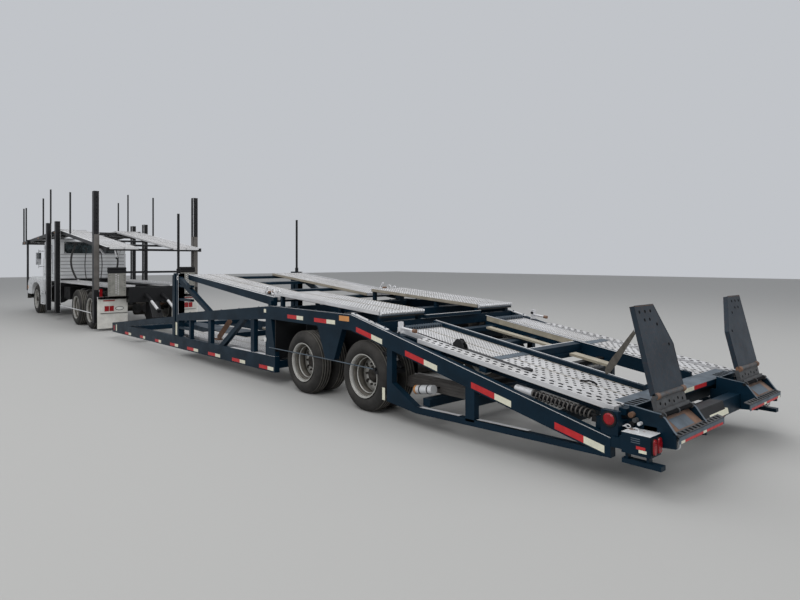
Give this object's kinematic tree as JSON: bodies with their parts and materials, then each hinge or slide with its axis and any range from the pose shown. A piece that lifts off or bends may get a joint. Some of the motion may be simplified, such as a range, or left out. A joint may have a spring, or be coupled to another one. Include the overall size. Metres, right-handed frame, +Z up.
{
  "type": "car transporter truck with stinger-steered trailer",
  "caption": "Articulated car transporter: day-cab tractor with a head rack, and a low trailer with sloping treadway decks, upright loading ramps and twin-wheel axles.",
  "frame": {"origin": "on the ground, in the middle of the vehicle's length and width", "axes": "+X forward along the vehicle, +Y to its left, +Z up"},
  "size_m": [23.2, 2.59, 3.9],
  "materials": {
    "trailer_paint": "satin",
    "deck_steel": "galvanised",
    "frame_black": "satin",
    "cab_white": "gloss",
    "ramp_grey": "worn",
    "tyre": "dusty",
    "rim": "dusty",
    "axle_iron": "dirty",
    "glass": "tinted",
    "lamp_red": "gloss",
    "trim": "matte",
    "chrome": "polished",
    "flap": "dusty",
    "engine_iron": "rough"
  },
  "bodies": {
    "truck": {"truck_frame": "frame_black", "stinger": "frame_black", "truck_axles": "axle_iron", "cab_shell": "cab_white", "cab_glass": "glass", "hood": "cab_white", "bumper": "chrome", "engine": "engine_iron", "cab_interior": "trim", "tanks": "frame_black", "rack_posts": "frame_black", "truck_lower_deck": "deck_steel", "mudflaps": "flap"},
    "trailer": {"trailer_side_beams": "trailer_paint", "trailer_posts": "trailer_paint", "trailer_braces": "trailer_paint", "trailer_rear_rails": "trailer_paint", "trailer_crossmembers": "trailer_paint", "trailer_neck": "trailer_paint", "trailer_axles": "axle_iron", "trailer_treads": "deck_steel", "trailer_deck_pins": "trailer_paint", "trailer_rear_frame": "trailer_paint", "trailer_lamps": "lamp_red"},
    "knuckle_left": {"knuckle_left": "axle_iron"},
    "steer_wheel_left": {"steer_tyre_left": "tyre", "steer_rim_left": "rim"},
    "drive1_wheel_left": {"drive1_tyre_left": "tyre", "drive1_rim_left": "rim"},
    "drive2_wheel_left": {"drive2_tyre_left": "tyre", "drive2_rim_left": "rim"},
    "trailer1_wheel_left": {"trailer1_tyre_left": "tyre", "trailer1_rim_left": "rim"},
    "trailer2_wheel_left": {"trailer2_tyre_left": "tyre", "trailer2_rim_left": "rim"},
    "door_left": {"door_left": "cab_white"},
    "ramp_left": {"ramp_left": "ramp_grey"},
    "knuckle_right": {"knuckle_right": "axle_iron"},
    "steer_wheel_right": {"steer_tyre_right": "tyre", "steer_rim_right": "rim"},
    "drive1_wheel_right": {"drive1_tyre_right": "tyre", "drive1_rim_right": "rim"},
    "drive2_wheel_right": {"drive2_tyre_right": "tyre", "drive2_rim_right": "rim"},
    "trailer1_wheel_right": {"trailer1_tyre_right": "tyre", "trailer1_rim_right": "rim"},
    "trailer2_wheel_right": {"trailer2_tyre_right": "tyre", "trailer2_rim_right": "rim"},
    "door_right": {"door_right": "cab_white"},
    "ramp_right": {"ramp_right": "ramp_grey"},
    "upper_deck": {"upper_deck_frame": "frame_black", "upper_deck_treads": "deck_steel"},
    "head_deck": {"head_deck_frame": "frame_black", "head_deck_treads": "deck_steel"},
    "front_deck": {"front_deck_frame": "trailer_paint", "front_deck_treads": "deck_steel"},
    "rear_deck": {"rear_deck_frame": "trailer_paint", "rear_deck_treads": "deck_steel"},
    "rear_lift_barrels": {"rear_lift_barrels": "frame_black"},
    "rear_lift_rods": {"rear_lift_rods": "chrome"}
  },
  "joints": [
    {"name": "trailer_yaw", "type": "hinge", "parent": "truck", "child": "trailer", "pos_m": [0.15, 0, 0.26], "axis": [0, 0, 1], "range_deg": [-45, 45]},
    {"name": "steer_left", "type": "hinge", "parent": "truck", "child": "knuckle_left", "pos_m": [9.1, 0.8, 0.465], "axis": [0, 0, 1], "range_deg": [-30, 30]},
    {"name": "steer_roll_left", "type": "hinge", "parent": "knuckle_left", "child": "steer_wheel_left", "pos_m": [9.1, 1, 0.465], "axis": [0, 1, 0], "continuous": true},
    {"name": "drive1_roll_left", "type": "hinge", "parent": "truck", "child": "drive1_wheel_left", "pos_m": [4.25, 1, 0.465], "axis": [0, 1, 0], "continuous": true},
    {"name": "drive2_roll_left", "type": "hinge", "parent": "truck", "child": "drive2_wheel_left", "pos_m": [2.95, 1, 0.465], "axis": [0, 1, 0], "continuous": true},
    {"name": "trailer1_roll_left", "type": "hinge", "parent": "trailer", "child": "trailer1_wheel_left", "pos_m": [-6.885, 1, 0.4], "axis": [0, 1, 0], "continuous": true},
    {"name": "trailer2_roll_left", "type": "hinge", "parent": "trailer", "child": "trailer2_wheel_left", "pos_m": [-8.13, 1, 0.4], "axis": [0, 1, 0], "continuous": true},
    {"name": "door_left_swing", "type": "hinge", "parent": "truck", "child": "door_left", "pos_m": [8.716, 1.056, 1.7], "axis": [0, 0, -1], "range_deg": [0, 70]},
    {"name": "ramp_left_fold", "type": "hinge", "parent": "trailer", "child": "ramp_left", "pos_m": [-11.462, 0.85, 0.56], "axis": [0, -1, 0], "range_deg": [0, 148]},
    {"name": "steer_right", "type": "hinge", "parent": "truck", "child": "knuckle_right", "pos_m": [9.1, -0.8, 0.465], "axis": [0, 0, 1], "range_deg": [-30, 30]},
    {"name": "steer_roll_right", "type": "hinge", "parent": "knuckle_right", "child": "steer_wheel_right", "pos_m": [9.1, -1, 0.465], "axis": [0, 1, 0], "continuous": true},
    {"name": "drive1_roll_right", "type": "hinge", "parent": "truck", "child": "drive1_wheel_right", "pos_m": [4.25, -1, 0.465], "axis": [0, 1, 0], "continuous": true},
    {"name": "drive2_roll_right", "type": "hinge", "parent": "truck", "child": "drive2_wheel_right", "pos_m": [2.95, -1, 0.465], "axis": [0, 1, 0], "continuous": true},
    {"name": "trailer1_roll_right", "type": "hinge", "parent": "trailer", "child": "trailer1_wheel_right", "pos_m": [-6.885, -1, 0.4], "axis": [0, 1, 0], "continuous": true},
    {"name": "trailer2_roll_right", "type": "hinge", "parent": "trailer", "child": "trailer2_wheel_right", "pos_m": [-8.13, -1, 0.4], "axis": [0, 1, 0], "continuous": true},
    {"name": "door_right_swing", "type": "hinge", "parent": "truck", "child": "door_right", "pos_m": [8.716, -1.056, 1.7], "axis": [0, 0, 1], "range_deg": [0, 70]},
    {"name": "ramp_right_fold", "type": "hinge", "parent": "trailer", "child": "ramp_right", "pos_m": [-11.462, -0.85, 0.56], "axis": [0, -1, 0], "range_deg": [0, 148]},
    {"name": "front_deck_tilt", "type": "hinge", "parent": "trailer", "child": "front_deck", "pos_m": [-5.96, 0, 1.11], "axis": [0, -1, 0], "range_deg": [0, 12]},
    {"name": "rear_deck_tilt", "type": "hinge", "parent": "trailer", "child": "rear_deck", "pos_m": [-8.525, 0, 0.88], "axis": [0, 1, 0], "range_deg": [0, 10]},
    {"name": "rear_lift_swing", "type": "hinge", "parent": "trailer", "child": "rear_lift_barrels", "pos_m": [-9.1, 0, 0.345], "axis": [0, 1, 0], "range_deg": [-1, 14]},
    {"name": "rear_lift_slide", "type": "slide", "parent": "rear_lift_barrels", "child": "rear_lift_rods", "axis": [-0.9696, 0, 0.2447], "range_m": [-0.005, 0.14]},
    {"name": "upper_deck_tilt", "type": "hinge", "parent": "truck", "child": "upper_deck", "pos_m": [6.15, 0, 2.52733], "axis": [0, 1, 0], "range_deg": [0, 12]},
    {"name": "head_deck_tilt", "type": "hinge", "parent": "truck", "child": "head_deck", "pos_m": [10.48, 0, 2.36526], "axis": [0, 1, 0], "range_deg": [0, 8]}
  ],
  "couplings": [
    {"joint": "steer_right", "follows": "steer_left", "ratio": 1},
    {"joint": "rear_lift_swing", "follows": "rear_deck_tilt", "ratio": 1.3046},
    {"joint": "rear_lift_slide", "follows": "rear_deck_tilt", "m_per_rad": 0.703}
  ]
}
